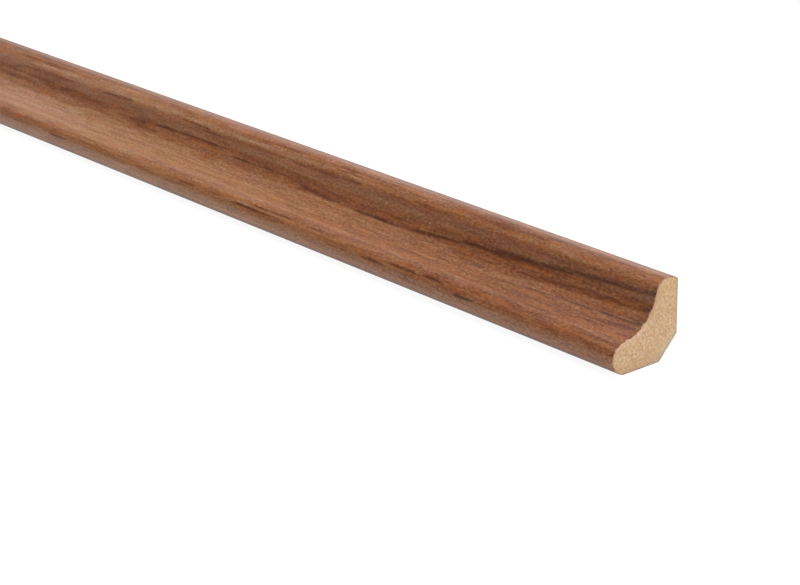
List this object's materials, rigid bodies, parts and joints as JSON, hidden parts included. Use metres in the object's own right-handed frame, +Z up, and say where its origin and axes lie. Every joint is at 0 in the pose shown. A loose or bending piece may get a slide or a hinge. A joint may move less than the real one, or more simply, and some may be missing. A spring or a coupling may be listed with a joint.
{
  "type": "scotia moulding",
  "caption": "Hollow-fronted trim strip with a rounded nose at wall and floor, walnut-wrapped over a fibreboard core, square-sawn at a sold length.",
  "frame": {"origin": "middle of the strip's length and width, at the plane it rests on", "axes": "+X along the strip, +Y towards the wall it is fixed to, +Z up from the floor"},
  "size_m": [2.4, 0.019, 0.0187],
  "materials": {
    "fibreboard": "bare, sawn and machined, fine speckle",
    "walnut": "satin lacquer over walnut grain that runs along the strip"
  },
  "bodies": {
    "root": {"mdf_core": "fibreboard", "walnut_wrap": "walnut"}
  },
  "joints": []
}
